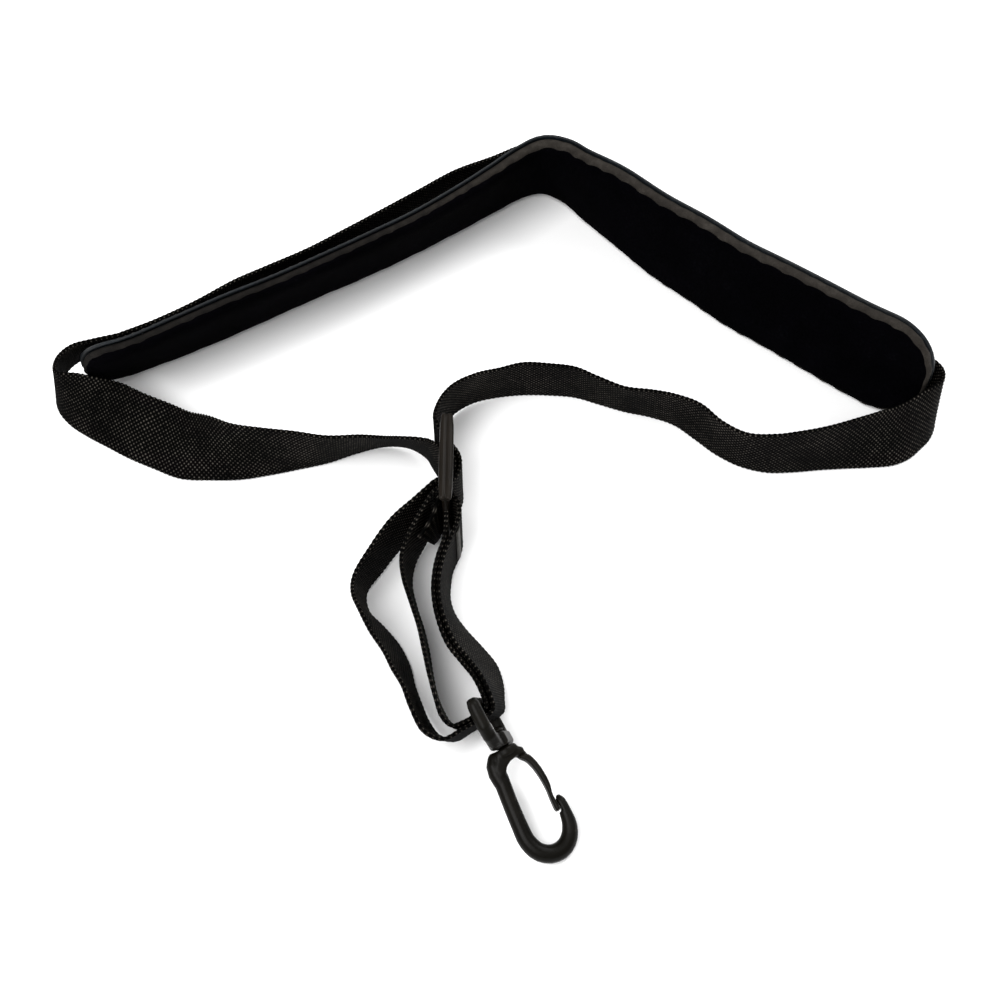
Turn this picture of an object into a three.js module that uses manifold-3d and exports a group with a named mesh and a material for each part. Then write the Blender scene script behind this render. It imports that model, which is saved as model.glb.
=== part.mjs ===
import * as THREE from 'three';
import { mergeVertices } from 'three/addons/utils/BufferGeometryUtils.js';
import Module from 'manifold-3d';

// Saxophone neck strap lying on a table. Millimetres, +Z up, +X along the pad.

const WEB_WIDTH = 25;
const WEB_THICK = 1.5;
const GAP = 0.3;
const PAD_GAP = 0.5;
const PAD_WIDTH = 45;
const PAD_THICK = 7;
const PAD_END_RADIUS = 20;
const PAD_BEND_FROM = 168;
const PAD_BEND_TO = 244;
const LINING_THICK = 1.4;
const COVER_THICK = 1.2;
const FOAM_INSET = 3.8;
const LINING_INSET = 1.2;
const EDGE_INSET = 1.9;
const EDGE_HALF_WIDTH = 1.5;
const STITCH_INSET = 3;
const STITCH_RADIUS = 0.3;
const SLIDER_X = -18.5;
const SLIDER_LENGTH = 33;
const SLIDER_MID_Y = -2;
const SLIDER_HEIGHT = 33.6;
const SLIDER_THICK = 4.5;
const RAIL = 3;
const BAR_WIDTH = 3.5;
const BAR_THICK = 2.8;
const BAR_CENTRES_Y = [12.75, -2, -16.75];
const EYE_WIDTH = 33;
const EYE_THICK = 3.6;
const EYE_BAR = 3.6;
const EYE_RAIL = 2.7;
const BORE_RADIUS = 2;
const STEM_RADIUS = 1.6;
const HEAD_RADIUS = 2.8;
const HOOK_THICK = 5.4;
const GATE_THICK = 4.4;
const BARTACK_THICK = 0.6;

// Centre and axes of the swivel: bar of the eye, swivel axis pointing to the hook, sideways, up.
const EYE_CENTRE = new THREE.Vector3(-6.4, -87.8, 18.35);
const SWIVEL_YAW = THREE.MathUtils.degToRad(-60);
const SWIVEL_PITCH = THREE.MathUtils.degToRad(16);
const EYE_ROLL = THREE.MathUtils.degToRad(18);

// Pad: x, y, z of the inner face's lower edge, then how far its upper edge leans in x and y.
const PAD_PATH = [
  [-155.5, 46.5, 0, 8.2, -14.2], [-141, 53.5, 0, 8.9, -18.4], [-123, 62, 0, 8.8, -17.6], [-106, 71, 0, 9.3, -16.6],
  [-89, 81, 0, 10, -17], [-72, 91, 0, 9.8, -17.1], [-54, 101, 0, 9.6, -16.4], [-36, 112, 0, 7.2, -17.4],
  [-18, 124, 0, 5.6, -17], [-3, 134.5, 0, 3.8, -16.4], [8, 142, 0, 2, -15.8], [17, 145, 0, 0.2, -14.5],
  [25.5, 140, 0, -1.2, -11.5], [33, 131, 0, -2, -8], [46, 116.5, 0, -2.3, -2.1], [59, 102, 0, -0.6, -0.6],
  [73, 89.5, 0.1, 0.5, 0.6], [86, 77.5, 0.2, 1, 1.2], [100, 67, 0.4, 1.4, 1.9], [113, 57, 0.5, 1.9, 2.5],
  [126.5, 46.5, 0.6, 2.3, 3.2], [140, 37, 0.7, 2.4, 4.6], [152, 29.6, 0.7, 2.3, 5.2],
];

// Webbing routes: x, y, z of the lower edge, then how far the upper edge leans in x and y.
const PAD_RUN = [
  [-142.6, 57.7, 12, 5, -9], [-129, 64, 11.5, 4.5, -8.5], [-114.5, 70.3, 11, 3.5, -6.5],
  [-101.5, 79.3, 11, 3.5, -6], [-89.5, 86.2, 11, 3.4, -6], [-75.4, 94.1, 11, 3.4, -5.8],
  [-61.5, 103.8, 11, 3.4, -5.8], [-50.4, 111.8, 11, 3.4, -5.8], [-34.7, 122.9, 11, 3.4, -5.5],
  [-20.6, 132.7, 11, 3.2, -5.2], [-5.4, 142, 10, 2.6, -6.2], [7, 149, 9.5, 1.4, -6.6],
  [18.5, 152.4, 9.3, 0, -6.5], [29.5, 147.9, 9.3, -0.8, -5], [40.5, 137.9, 9.4, -1, -3],
  [53, 122.9, 9.4, -0.8, -1.2], [79.7, 96.2, 9.4, 0.3, 0.3], [106.3, 74.3, 9.3, 0.8, 1.1],
  [132.6, 55.3, 8.5, 1.3, 1.9], [144.9, 47.5, 7, 1.5, 2.3],
];
const LEFT_ROUTE = [
  [-143.2, 57.6, 12, 5, -9], [-151, 57.8, 10.5, 4, -10.2], [-158.5, 56, 8.8, 4, -9.7],
  [-163.7, 52.2, 6.3, 4.5, -8.5], [-166.3, 45.8, 3.6, 5.3, -5.5], [-165.3, 38.5, 1.4, 5.5, 0],
  [-160.5, 32.4, 0.3, 7, 6], [-153.5, 27.2, 0.3, 8, 10.4], [-145, 22.1, 0.5, 7.6, 15.2],
  [-136.5, 17.2, 0.6, 7, 20], [-127.5, 13, 0.6, 6.8, 20], [-117, 8.6, 0.6, 4.8, 19.5],
  [-105.8, 8, 0.4, 1, 15.5], [-94.9, 8.6, 0, -1.2, 9.5], [-84.3, 10.7, 0, -1, 4.5],
  [-73.7, 13.4, 0, 0, 0], [-63.1, 16.3, 0, 1.5, -4.7], [-52.9, 20.5, 0, 2.8, -8],
  [-42.2, 23.3, 0.4, 1, -11], [-33, 21.7, 1.5, -3, -10.3], [-26.2, 15.6, 3.3, -0.5, -7],
];
const RIGHT_ROUTE = [
  [145.3, 47.2, 7, 1.5, 2.3], [152.5, 43.4, 4.5, 1, 1.5], [158.7, 38.8, 2, 1, 1.5],
  [161.8, 32.8, 0, -1.5, 4], [159.4, 26.3, 0, -3, 7.5], [155.5, 22, 0, -3, 10], [150.5, 17.5, 0, -3.5, 11],
  [144.5, 14.8, 0, -2.5, 11], [135.7, 13.9, 0, -0.5, 9], [126, 13.5, 0, 0, 5.5], [116.4, 12.9, 0, 0, 2.7],
  [106.8, 12, 0, 0, 1.4], [97.3, 12, 0, 0, 0], [88.3, 14.6, 0, -0.9, -2],
  [80.2, 19.5, 0, -1.3, -1.8], [72.8, 26.2, 0, -1, -1], [65.3, 32.8, 0, -2.2, -3.4],
  [56.3, 36.6, 0, -1.7, -5.1], [46.9, 39, 0, -1.8, -6], [37.5, 42.3, 0, -1.8, -5],
  [28.2, 45.5, 0, -0.9, -4], [18.4, 46.5, 0, -0.2, -3.6], [8.5, 46.6, 0, 0.2, -3.2],
  [-1.3, 45.2, 0.3, 1, -4.4], [-10.6, 42, 1, 2.2, -3.9], [-18.3, 35.4, 2, 2, -2.5],
  [-22, 27, 3, 1, -1], [-23, 18, 3.6, 0, 0],
];
const LEFT_WEAVE = [
  [-25.6, 14.7, 3.5, -0.5, -6.5], [-24.4, 12, 3.7, -0.2, -4.6], [-22.9, 9, 3.8, 0, -2.6],
  [-21, 6.2, 3.8, 0, -1], [-18.4, 3.4, 3.8, 0, 0], [-16.4, 1, 3.8, 0, 0], [-15.9, -1, 3.8, 0, 0],
  [-15.9, -3.2, 3.8, 0, 0], [-17.2, -5.7, 3.8, 0, 0], [-19.8, -7.6, 3.8, 0, 0], [-22.4, -8.9, 3.8, 0, 0],
];
const RIGHT_WEAVE = [
  [-23.1, 17.3, 3.8, 0, 0], [-21.9, 14.4, 3.8, 0, 0], [-21.2, 12, 3.8, 0, 0], [-20, 9.6, 3.8, 0, 0],
  [-17.2, 6.2, 3.8, 0, 0], [-14.8, 2.8, 3.8, 0, 0], [-13.9, 0, 3.8, 0, 0], [-13.9, -4, 3.8, 0, 0],
  [-15.2, -7.4, 3.8, 0, 0], [-17.8, -10, 3.8, 0, 0], [-20.7, -11.5, 3.8, 0, 0],
  [-23.1, -13.4, 3.8, 0, 0],
];
const LEFT_LEG = [
  [-22.8, -9.1, 3.7, 0, 0], [-28, -14, 2.5, -1, -1], [-35.2, -21, 1.5, -2, -2], [-41.5, -30, 1, -2.5, -4],
  [-46.8, -38.5, 0.5, -2, -5.5], [-45.6, -45.8, 0.4, -3.5, -4.5], [-40, -52, 0.4, -6.5, -4.5],
  [-34.7, -58.5, 0.4, -8, -5.5], [-30.8, -66.3, 0.5, -7.2, -5], [-28.8, -74, 0.8, -6, -4],
  [-26.3, -81, 1.4, -5, -3.2], [-23.7, -87.4, 2.2, -4.8, -4.5], [-19.8, -92.8, 2.9, -4.5, -7.3],
  [-14.3, -94.3, 4.2, -3.8, -9], [-8.8, -91.3, 5.2, -3.4, -9.3], [-3.2, -88.1, 5.4, -3.4, -9.3],
];
const RIGHT_LEG = [
  [-23.7, -14.2, 3.7, 0, 0], [-26.6, -20, 2.5, -0.3, 0], [-30.2, -28, 1.5, -0.6, -0.3],
  [-31, -36, 1, -2.2, -0.5], [-29.2, -44, 0.6, -3.2, -0.7], [-26.4, -53, 0.5, -3.2, -0.8],
  [-24.3, -62, 0.5, -2.5, -0.5], [-22.8, -71, 0.8, -2, -0.3], [-21, -79, 1.8, -1.8, -1.5],
  [-18.6, -85, 3, -2, -4], [-16, -89, 3.8, -2.6, -6.5], [-12.2, -90.5, 4.6, -3.2, -8.5],
  [-8.2, -88.8, 5.4, -3.4, -9.3], [-3.9, -86.4, 5.6, -3.4, -9.3],
];
const RETURN_INNER = [
  [-18.3, -21.5, 3.8, 0, 0], [-18.4, -26, 3.3, 0, 0], [-18.9, -31, 2.5, 0, 0], [-19.6, -36, 1.8, -1, 0],
  [-19.6, -42, 1.2, -2.4, -0.4], [-17.6, -48, 0.7, -4.8, -2], [-13.7, -54.2, 0.4, -7.5, -4],
  [-8.2, -60.8, 0.3, -9.5, -7], [-3.4, -67.5, 0.8, -9.2, -7.6], [-1.5, -74.5, 2.2, -7, -7],
  [-1.3, -80.5, 4.6, -4, -9.1], [-1.2, -83.8, 5.4, -3.4, -9.3], [-3.1, -85.8, 5.6, -3.4, -9.3],
];
const RETURN_OUTER = [
  [-17.2, -32.6, 2.4, 0, 0], [-17.6, -36, 1.8, -1, 0], [-17.6, -41.6, 1.2, -2.4, -0.4],
  [-15.8, -47.1, 0.7, -4.8, -2], [-11.9, -52.8, 0.4, -7.5, -4], [-6.2, -59.3, 0.3, -9.5, -7],
  [-1.2, -66.3, 0.8, -9.2, -7.6], [0.9, -74.1, 2.2, -7, -7], [1.1, -80.4, 4.4, -4, -9.1],
  [1, -84.6, 5.2, -3.4, -9.3], [-2.1, -87.6, 5.4, -3.4, -9.3],
];
const FOLD = [
  [-17.1, -32.2, 2.6, 0, 0], [-16.2, -29.5, 3, 0, 0], [-14.7, -26, 3.4, 0, 0], [-13.7, -22, 3.8, 0, 0],
  [-14.1, -18, 3.8, 0, 0], [-15.6, -15.2, 3.8, 0, 0], [-17.2, -13.9, 3.8, 0, 0],
  [-18.9, -13.8, 3.8, 0, 0], [-20.4, -14.6, 3.8, 0, 0], [-21.1, -16.2, 3.8, 0, 0],
  [-21.5, -17.7, 3.8, -0.8, -3.5], [-22.4, -19.2, 3.8, -2.2, -7], [-23.6, -20.6, 3.9, -4, -10],
];

// Centre line of the hook's rod: distance along the swivel axis, distance sideways, radius.
const HOOK_ROD = [
  [18.2, -3.4, 2], [20.4, -5, 2.4], [24, -5.6, 2.65], [32, -6.7, 2.65], [40, -7.5, 2.75], [45, -7.7, 2.9],
  [49.6, -6, 3], [52.2, -2.4, 3.05], [52.3, 1.6, 3], [50.2, 4.9, 2.8], [46.8, 6.9, 2.5], [43, 7.6, 2.1],
  [39.8, 7.9, 1.8], [37.6, 8, 1.4], [36.9, 8, 0.6],
];
const HOOK_SHOULDER = [
  [16.2, -3.6], [18.4, -4.6], [20.6, -6.4], [24, -6.2], [24, -4], [21.6, -2.2], [20.6, -0.4], [20.2, 1.8],
  [20.2, 5.2], [18.4, 5.2], [17.6, 4], [16.2, 3.6],
];
const GATE_NOTCH = { from: 35, to: 42.1, below: 6.8 };

// Outline of the springy gate, in the same two directions.
const GATE_OUTLINE = [
  [20.9, 5.4], [24, 6.9], [29.2, 7.6], [33, 7.4], [36, 6.6], [41.4, 6.3], [41.4, 5.1],
  [38, 5.1], [33.4, 5.6], [27, 5.3], [23, 4.2], [20.9, 2.6],
];

const COLOURS = {
  webbing: [0x1b1a18, 0.9, 0],
  cover: [0x22282c, 0.65, 0],
  velour: [0x0b0a0c, 1, 0],
  edge: [0x2c2824, 0.95, 0],
  foam: [0x303030, 0.95, 0],
  thread: [0x4a4741, 0.8, 0],
  plastic: [0x2b2723, 0.45, 0],
};

function part(name, geometry, look) {
  const [color, roughness, metalness] = COLOURS[look];
  const mesh = new THREE.Mesh(geometry, new THREE.MeshStandardMaterial({ color, roughness, metalness }));
  mesh.name = name;
  return mesh;
}

// Merges a geometry's shared corners and turns its faces outwards if it came out mirrored.
function closed(geometry) {
  geometry.deleteAttribute('uv');
  geometry.deleteAttribute('normal');
  const solid = mergeVertices(geometry, 1e-4);
  const points = solid.attributes.position;
  const index = [];
  for (let i = 0; i < solid.index.count; i += 3) {
    const [p, q, r] = [0, 1, 2].map((k) => solid.index.getX(i + k));
    if (p !== q && q !== r && r !== p) {
      index.push(p, q, r);
    }
  }
  const a = new THREE.Vector3();
  const b = new THREE.Vector3();
  const c = new THREE.Vector3();
  let volume = 0;
  for (let i = 0; i < index.length; i += 3) {
    a.fromBufferAttribute(points, index[i]);
    b.fromBufferAttribute(points, index[i + 1]);
    c.fromBufferAttribute(points, index[i + 2]);
    volume += a.dot(b.cross(c));
  }
  if (volume < 0) {
    for (let i = 0; i < index.length; i += 3) {
      [index[i + 1], index[i + 2]] = [index[i + 2], index[i + 1]];
    }
  }
  solid.setIndex(index);
  solid.computeVertexNormals();
  return solid;
}

// A smooth curve through a route's lower edge, with the lean of the upper edge carried along it.
function routeSurface(route, width) {
  const lower = new THREE.CatmullRomCurve3(route.map(([x, y, z]) => new THREE.Vector3(x, y, z)));
  const lean = new THREE.CatmullRomCurve3(route.map(([, , , lx, ly]) => new THREE.Vector3(lx, ly, 0)));
  lean.curveType = 'catmullrom';
  lower.arcLengthDivisions = 600;
  const edge = (u, v) => {
    const t = lower.getUtoTmapping(THREE.MathUtils.clamp(u, 0, 1));
    const across = lean.getPoint(t);
    across.z = Math.sqrt(width * width - across.x * across.x - across.y * across.y);
    return lower.getPoint(t).addScaledVector(across, v);
  };
  const at = (u, v, offset) => {
    const step = 0.004;
    const along = edge(Math.min(u + step, 1), v).sub(edge(Math.max(u - step, 0), v));
    const normal = edge(u, 1).sub(edge(u, 0)).cross(along).normalize();
    return edge(u, v).addScaledVector(normal, offset);
  };
  return { at, length: lower.getLength() };
}

function strip(route, segments) {
  const surface = routeSurface(route, WEB_WIDTH);
  const box = new THREE.BoxGeometry(1, 1, 1, segments, 1, 1);
  const points = box.attributes.position;
  for (let i = 0; i < points.count; i += 1) {
    const p = surface.at(points.getX(i) + 0.5, points.getY(i) + 0.5, points.getZ(i) * WEB_THICK);
    points.setXYZ(i, p.x, p.y, p.z);
  }
  return closed(box);
}

// Thin patch of thread on one face of a route, between two fractions of its length.
function threadPatch(route, from, to, side) {
  const surface = routeSurface(route, WEB_WIDTH);
  const box = new THREE.BoxGeometry(1, 1, 1, 3, 1, 1);
  const points = box.attributes.position;
  const base = WEB_THICK / 2 + GAP;
  const margin = 0.1;
  for (let i = 0; i < points.count; i += 1) {
    const u = from + (to - from) * (points.getX(i) + 0.5);
    const v = margin + (1 - 2 * margin) * (points.getY(i) + 0.5);
    const p = surface.at(u, v, side * (base + BARTACK_THICK * (points.getZ(i) + 0.5)));
    points.setXYZ(i, p.x, p.y, p.z);
  }
  return closed(box);
}

const padSurface = routeSurface(PAD_PATH, PAD_WIDTH);
const PAD_LENGTH = padSurface.length;

// Point of the pad at a length along it, a height from its lower edge and a depth from its inner face.
function padPoint(length, height, depth) {
  return padSurface.at(length / PAD_LENGTH, height / PAD_WIDTH, depth);
}

// Half the pad's width at a distance from its end, for a layer set in from the outline.
function endHalfWidth(distance, inset) {
  const radius = PAD_END_RADIUS - inset;
  const reach = Math.min(distance, radius);
  const flat = PAD_WIDTH / 2 - PAD_END_RADIUS;
  return flat + Math.sqrt(Math.max(radius * radius - (radius - reach) * (radius - reach), 0));
}

// Lengths along the straight-sided part of the pad, closer together round its bend.
function padMiddleLengths() {
  const lengths = [];
  const spread = (from, to, steps) => {
    for (let i = 0; i < steps; i += 1) {
      lengths.push(from + ((to - from) * i) / steps);
    }
  };
  spread(PAD_END_RADIUS, PAD_BEND_FROM, 14);
  spread(PAD_BEND_FROM, PAD_BEND_TO, 26);
  spread(PAD_BEND_TO, PAD_LENGTH - PAD_END_RADIUS, 10);
  lengths.push(PAD_LENGTH - PAD_END_RADIUS);
  return lengths;
}

function padLayer(inset, depth, thick) {
  const endSteps = 5;
  const radius = PAD_END_RADIUS - inset;
  const ends = [];
  for (let i = 0; i < endSteps; i += 1) {
    ends.push(inset + radius * (1 - Math.cos((i / endSteps) * (Math.PI / 2))));
  }
  const far = ends.map((length) => PAD_LENGTH - length).reverse();
  const lengths = [...ends, ...padMiddleLengths(), ...far];
  const count = lengths.length - 1;
  const box = new THREE.BoxGeometry(1, 1, 1, count, 2, 1);
  const points = box.attributes.position;
  for (let i = 0; i < points.count; i += 1) {
    const length = lengths[Math.round((points.getX(i) + 0.5) * count)];
    const distance = Math.min(length, PAD_LENGTH - length) - inset;
    const half = endHalfWidth(distance, inset);
    const height = PAD_WIDTH / 2 + half * 2 * points.getY(i);
    const p = padPoint(length, height, depth + thick * (points.getZ(i) + 0.5));
    points.setXYZ(i, p.x, p.y, p.z);
  }
  return closed(box);
}

// Closed line round the pad, set in from its outline: length, height, and the outward direction.
function padRing(inset) {
  const ring = [];
  const radius = PAD_END_RADIUS - inset;
  const middle = padMiddleLengths().slice(1, -1);
  const arcSteps = 5;
  const low = PAD_END_RADIUS;
  const high = PAD_WIDTH - PAD_END_RADIUS;
  const arc = (cx, cy, start) => {
    for (let i = 0; i <= arcSteps; i += 1) {
      const angle = start + (i / arcSteps) * (Math.PI / 2);
      const dx = Math.cos(angle);
      const dy = Math.sin(angle);
      ring.push([cx + radius * dx, cy + radius * dy, dx, dy]);
    }
  };
  arc(low, low, Math.PI);
  ring.push(...middle.map((length) => [length, inset, 0, -1]));
  arc(PAD_LENGTH - low, low, 1.5 * Math.PI);
  arc(PAD_LENGTH - low, high, 0);
  ring.push(...middle.map((length) => [length, PAD_WIDTH - inset, 0, 1]).reverse());
  arc(low, high, Math.PI / 2);
  return ring;
}

function padRingSolid(inset, depth, halfWidth, halfDepth, sides) {
  const ring = padRing(inset);
  const torus = new THREE.TorusGeometry(2, 1, sides, ring.length);
  const points = torus.attributes.position;
  const uv = torus.attributes.uv;
  for (let i = 0; i < points.count; i += 1) {
    const at = Math.round(uv.getX(i) * ring.length) % ring.length;
    const around = Math.round(uv.getY(i) * sides) % sides;
    const angle = (around / sides) * 2 * Math.PI;
    const [length, height, dx, dy] = ring[at];
    const out = halfWidth * Math.cos(angle);
    const p = padPoint(length + dx * out, height + dy * out, depth + halfDepth * Math.sin(angle));
    points.setXYZ(i, p.x, p.y, p.z);
  }
  return closed(torus);
}

const wasm = await Module();
wasm.setup();

function toManifold(geometry) {
  const solid = closed(geometry);
  return new wasm.Manifold(new wasm.Mesh({
    numProp: 3,
    vertProperties: new Float32Array(solid.attributes.position.array),
    triVerts: new Uint32Array(solid.index.array),
  }));
}

function fromManifold(manifold) {
  const mesh = manifold.getMesh();
  const geometry = new THREE.BufferGeometry();
  geometry.setAttribute('position', new THREE.BufferAttribute(new Float32Array(mesh.vertProperties), 3));
  geometry.setIndex(new THREE.BufferAttribute(new Uint32Array(mesh.triVerts), 1));
  geometry.computeVertexNormals();
  return geometry;
}

function outlineShape(points) {
  return new THREE.Shape(points.map(([x, y]) => new THREE.Vector2(x, y)));
}

function smoothShape(points, divisions) {
  const vectors = points.map(([x, y]) => new THREE.Vector3(x, y, 0));
  const curve = new THREE.CatmullRomCurve3(vectors, true);
  return new THREE.Shape(curve.getPoints(divisions).slice(0, -1).map((p) => new THREE.Vector2(p.x, p.y)));
}

// Extrudes a shape with a rounded rim; the result is centred on z = 0.
function rimmed(shape, thick, bevelSize, bevelThickness, bevelSegments) {
  const options = {
    depth: thick - 2 * bevelThickness,
    bevelEnabled: true,
    bevelSize,
    bevelOffset: -bevelSize,
    bevelThickness,
    bevelSegments,
    curveSegments: 4,
  };
  const geometry = new THREE.ExtrudeGeometry(shape, options);
  geometry.translate(0, 0, -(thick - 2 * bevelThickness) / 2);
  return geometry;
}

function capsule(length, width) {
  const shape = new THREE.Shape();
  const radius = width / 2;
  const half = length / 2 - radius;
  shape.absarc(half, 0, radius, -Math.PI / 2, Math.PI / 2, false);
  shape.absarc(-half, 0, radius, Math.PI / 2, 1.5 * Math.PI, false);
  return shape;
}

function slider() {
  let body = null;
  for (const z of [RAIL / 2, SLIDER_HEIGHT - RAIL / 2]) {
    const rail = rimmed(capsule(SLIDER_LENGTH, SLIDER_THICK), RAIL, 0.6, 0.6, 2);
    rail.rotateZ(Math.PI / 2);
    rail.translate(SLIDER_X, SLIDER_MID_Y, z);
    const solid = toManifold(rail);
    body = body ? body.add(solid) : solid;
  }
  for (const y of BAR_CENTRES_Y) {
    const bar = new THREE.ExtrudeGeometry(capsule(BAR_WIDTH, BAR_THICK), {
      depth: SLIDER_HEIGHT - RAIL,
      bevelEnabled: false,
      curveSegments: 5,
    });
    bar.rotateZ(Math.PI / 2);
    bar.translate(SLIDER_X, y, RAIL / 2);
    body = body.add(toManifold(bar));
  }
  return fromManifold(body);
}

// Turns geometry drawn as x = along the swivel, y = sideways, z = up into the strap's frame.
function placeOnSwivel(geometry, roll) {
  const along = new THREE.Vector3(
    Math.cos(SWIVEL_YAW) * Math.cos(SWIVEL_PITCH),
    Math.sin(SWIVEL_YAW) * Math.cos(SWIVEL_PITCH),
    -Math.sin(SWIVEL_PITCH),
  );
  const sideways = new THREE.Vector3(-Math.sin(SWIVEL_YAW), Math.cos(SWIVEL_YAW), 0);
  const up = along.clone().cross(sideways);
  const frame = new THREE.Matrix4().makeBasis(along, sideways, up).setPosition(EYE_CENTRE);
  geometry.rotateX(roll);
  geometry.applyMatrix4(frame);
  return geometry;
}

// Eye: window for the webbing between a round end bar and a block that holds the hook's stem.
function swivelEye() {
  const half = EYE_WIDTH / 2;
  const outline = outlineShape([
    [-1.2, -half], [0.6, -half - 0.0], [9, -half], [12.2, -15], [14.3, -12.5], [15.5, -9], [15.5, 9],
    [14.3, 12.5], [12.2, 15], [9, half], [0.6, half], [-1.2, half], [-1.8, half - 1], [-1.8, 1 - half],
  ]);
  const window = half - EYE_RAIL;
  const inner = EYE_BAR / 2;
  outline.holes.push(new THREE.Path([
    new THREE.Vector2(inner, -window),
    new THREE.Vector2(inner, window),
    new THREE.Vector2(8.5, window),
    new THREE.Vector2(10.8, 11),
    new THREE.Vector2(11, -11),
    new THREE.Vector2(8.5, -window),
  ]));
  let body = toManifold(rimmed(outline, EYE_THICK, 0.9, 1.1, 2));
  const blockWidth = 15;
  const blockLength = 4.5;
  const blockThick = 6.6;
  const block = outlineShape([
    [11, -blockWidth / 2], [11 + blockLength, -blockWidth / 2],
    [11 + blockLength, blockWidth / 2], [11, blockWidth / 2],
  ]);
  body = body.add(toManifold(rimmed(block, blockThick, 0.7, 0.7, 1)));
  const bore = new THREE.CylinderGeometry(BORE_RADIUS, BORE_RADIUS, 12, 20);
  bore.rotateZ(Math.PI / 2);
  bore.translate(13, 0, 0);
  body = body.subtract(toManifold(bore));
  const geometry = fromManifold(body);
  geometry.rotateX(Math.PI / 2);
  return placeOnSwivel(geometry, EYE_ROLL);
}

// Round rod along a flat route, its radius following the route's third number.
function taperedRod(route, rings, sides) {
  const curve = new THREE.CatmullRomCurve3(route.map(([x, y]) => new THREE.Vector3(x, y, 0)));
  const radii = new THREE.CatmullRomCurve3(route.map(([, , r], i) => new THREE.Vector3(i, r, 0)));
  radii.curveType = 'catmullrom';
  const rod = new THREE.CylinderGeometry(1, 1, 1, sides, rings);
  const points = rod.attributes.position;
  for (let i = 0; i < points.count; i += 1) {
    const t = curve.getUtoTmapping(points.getY(i) + 0.5);
    const tangent = curve.getTangent(t);
    const radius = radii.getPoint(t).y;
    const across = new THREE.Vector3(-tangent.y, tangent.x, 0);
    const p = curve.getPoint(t).addScaledVector(across, radius * points.getX(i));
    points.setXYZ(i, p.x, p.y, radius * points.getZ(i));
  }
  return rod;
}

// Hook, collar, stem and retaining head moulded in one.
function hookBody() {
  let body = toManifold(taperedRod(HOOK_ROD, 34, 12));
  const notchLength = GATE_NOTCH.to - GATE_NOTCH.from;
  const notchDepth = 4;
  const notch = new THREE.BoxGeometry(notchLength, notchDepth, 2 * HOOK_THICK);
  notch.translate(GATE_NOTCH.from + notchLength / 2, GATE_NOTCH.below - notchDepth / 2, 0);
  body = body.subtract(toManifold(notch));
  body = body.add(toManifold(rimmed(outlineShape(HOOK_SHOULDER), HOOK_THICK, 0.7, 1.1, 2)));
  const stemProfile = [
    [0, 9.3], [1.4, 9.3], [HEAD_RADIUS, 10.1], [HEAD_RADIUS, 10.6], [STEM_RADIUS, 10.7],
    [STEM_RADIUS, 15.8], [3.4, 15.8], [3.9, 16.3], [3.9, 18.2], [3.4, 18.7], [0, 18.7],
  ];
  const stem = new THREE.LatheGeometry(stemProfile.map(([r, x]) => new THREE.Vector2(r, x)), 20);
  stem.rotateZ(-Math.PI / 2);
  body = body.add(toManifold(stem));
  return placeOnSwivel(fromManifold(body), 0);
}

function hookGate() {
  return placeOnSwivel(closed(rimmed(smoothShape(GATE_OUTLINE, 32), GATE_THICK, 0.4, 0.8, 1)), 0);
}

function neckStrap() {
  const strap = new THREE.Group();
  const coverDepth = PAD_THICK - COVER_THICK;
  const foamDepth = LINING_THICK + PAD_GAP;
  const foamThick = coverDepth - PAD_GAP - foamDepth;
  const midDepth = foamDepth + foamThick / 2;
  strap.add(part('pad_velour_lining', padLayer(LINING_INSET, 0, LINING_THICK), 'velour'));
  strap.add(part('pad_foam_core', padLayer(FOAM_INSET, foamDepth, foamThick), 'foam'));
  strap.add(part('pad_outer_cover', padLayer(0, coverDepth, COVER_THICK), 'cover'));
  const roll = padRingSolid(EDGE_INSET, midDepth, EDGE_HALF_WIDTH, foamThick / 2, 6);
  strap.add(part('pad_rolled_edge', roll, 'edge'));
  const stitchDepth = PAD_THICK + PAD_GAP + STITCH_RADIUS;
  const stitches = padRingSolid(STITCH_INSET, stitchDepth, STITCH_RADIUS, STITCH_RADIUS, 4);
  strap.add(part('pad_perimeter_stitching', stitches, 'thread'));
  strap.add(part('webbing_pad_run', strip(PAD_RUN, 44), 'webbing'));
  strap.add(part('left_webbing', strip(LEFT_ROUTE, 48), 'webbing'));
  strap.add(part('right_webbing', strip(RIGHT_ROUTE, 52), 'webbing'));
  strap.add(part('left_webbing_weave', strip(LEFT_WEAVE, 20), 'webbing'));
  strap.add(part('right_webbing_weave', strip(RIGHT_WEAVE, 20), 'webbing'));
  strap.add(part('left_leg', strip(LEFT_LEG, 36), 'webbing'));
  strap.add(part('right_leg', strip(RIGHT_LEG, 32), 'webbing'));
  strap.add(part('return_leg_inner', strip(RETURN_INNER, 28), 'webbing'));
  strap.add(part('return_leg_outer', strip(RETURN_OUTER, 26), 'webbing'));
  strap.add(part('return_fold', strip(FOLD, 28), 'webbing'));
  strap.add(part('left_pad_bartack', threadPatch(PAD_RUN, 0.01, 0.02, 1), 'thread'));
  strap.add(part('right_pad_bartack', threadPatch(PAD_RUN, 0.98, 0.99, 1), 'thread'));
  strap.add(part('fold_bartack', threadPatch(FOLD, 0.1, 0.2, -1), 'thread'));
  strap.add(part('slider', slider(), 'plastic'));
  strap.add(part('swivel_eye', swivelEye(), 'plastic'));
  strap.add(part('hook_body', hookBody(), 'plastic'));
  strap.add(part('hook_gate', hookGate(), 'plastic'));
  const box = new THREE.Box3().setFromObject(strap);
  const centre = box.getCenter(new THREE.Vector3());
  strap.position.set(-centre.x, -centre.y, -box.min.z);
  return strap;
}

export default neckStrap();
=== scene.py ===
"""Saxophone neck strap: woven webbing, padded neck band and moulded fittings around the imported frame."""

import math
import random

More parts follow.
